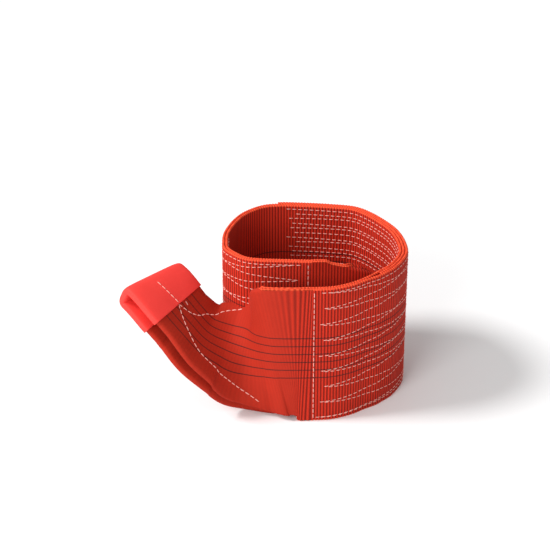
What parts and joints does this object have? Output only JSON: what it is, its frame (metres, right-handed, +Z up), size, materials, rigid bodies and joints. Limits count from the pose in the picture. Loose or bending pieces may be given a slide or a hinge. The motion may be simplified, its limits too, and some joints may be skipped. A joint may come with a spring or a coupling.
{
  "type": "lifting sling",
  "caption": "Coiled flat webbing lifting sling with folded, sleeved eyes, standing on its edge, one eye sticking out and the other inside the coil.",
  "frame": {"origin": "centre of the bounding box in plan, on the floor under the lower edge of the webbing", "axes": "+X to the right of the picture, from the front eye towards the coil, +Y from the front of the coil to its back, +Z up"},
  "size_m": [0.2848, 0.1902, 0.1504],
  "materials": {
    "webbing_strap": "woven, ribbed, matte",
    "eye_sleeve_front": "smooth woven, matte",
    "eye_sleeve_inner": "smooth woven, matte"
  },
  "bodies": {
    "root": {"webbing_strap": "webbing_strap", "eye_sleeve_front": "eye_sleeve_front", "eye_sleeve_inner": "eye_sleeve_inner"}
  },
  "joints": []
}
